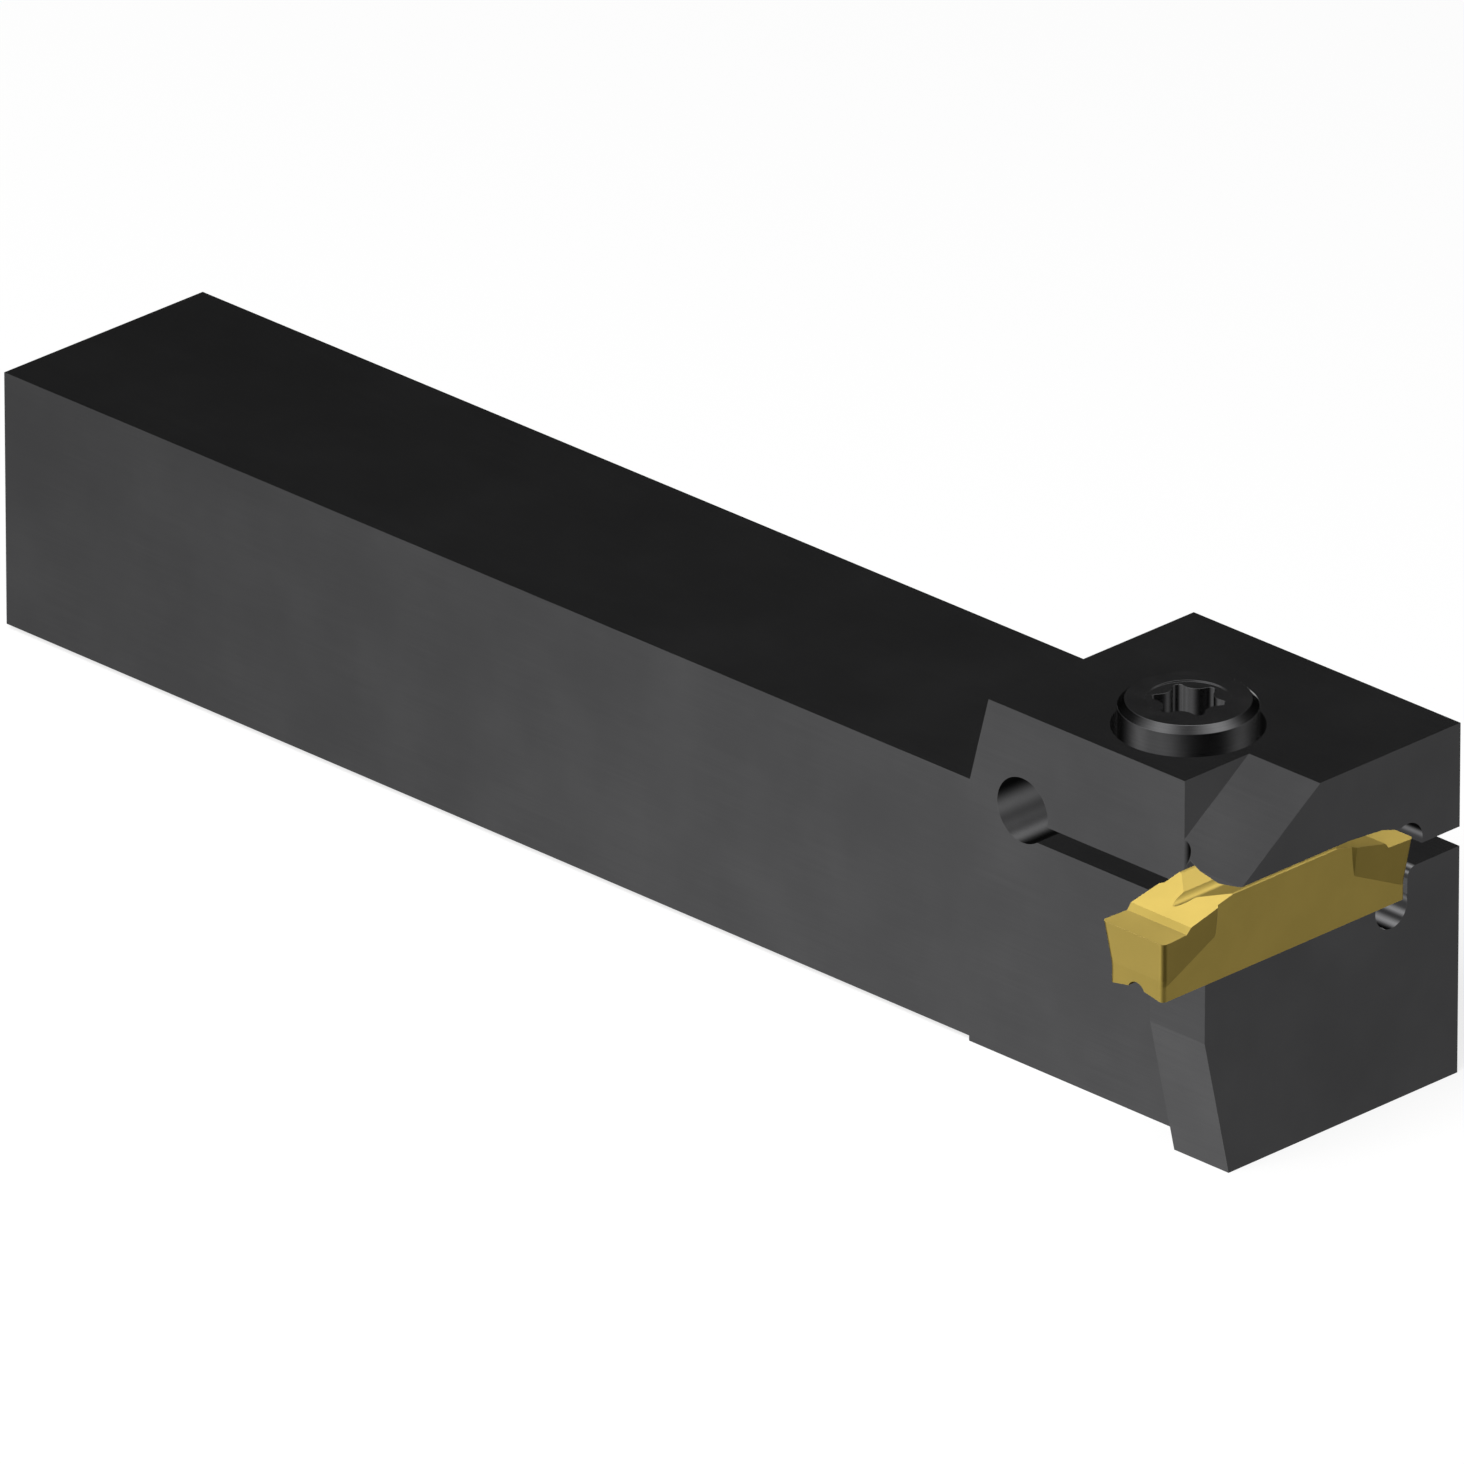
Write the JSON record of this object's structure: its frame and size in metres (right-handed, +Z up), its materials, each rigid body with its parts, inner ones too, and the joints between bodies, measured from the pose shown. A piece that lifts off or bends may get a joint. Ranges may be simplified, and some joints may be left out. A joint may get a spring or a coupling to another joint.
{
  "type": "grooving tool holder",
  "caption": "Square-shank external grooving tool holder: its split head clamps a gold-coated double-ended cutting insert, closed by a six-lobe socket cap screw.",
  "frame": {"origin": "centre of the shank's bottom seat face, halfway along the shank and halfway across it", "axes": "+X along the shank from its plain end to the cutting head, +Z up from the seat face, and the insert's cutting edge points towards -Y"},
  "size_m": [0.1586, 0.0383, 0.0365],
  "materials": {
    "holder_steel": "dark nickel-plated tool steel, satin",
    "coated_carbide": "cemented carbide with a gold-coloured nitride coating, satin",
    "screw_steel": "blackened alloy steel, lightly polished"
  },
  "bodies": {
    "root": {"holder_body": "holder_steel", "grooving_insert": "coated_carbide", "clamp_screw": "screw_steel"}
  },
  "joints": []
}
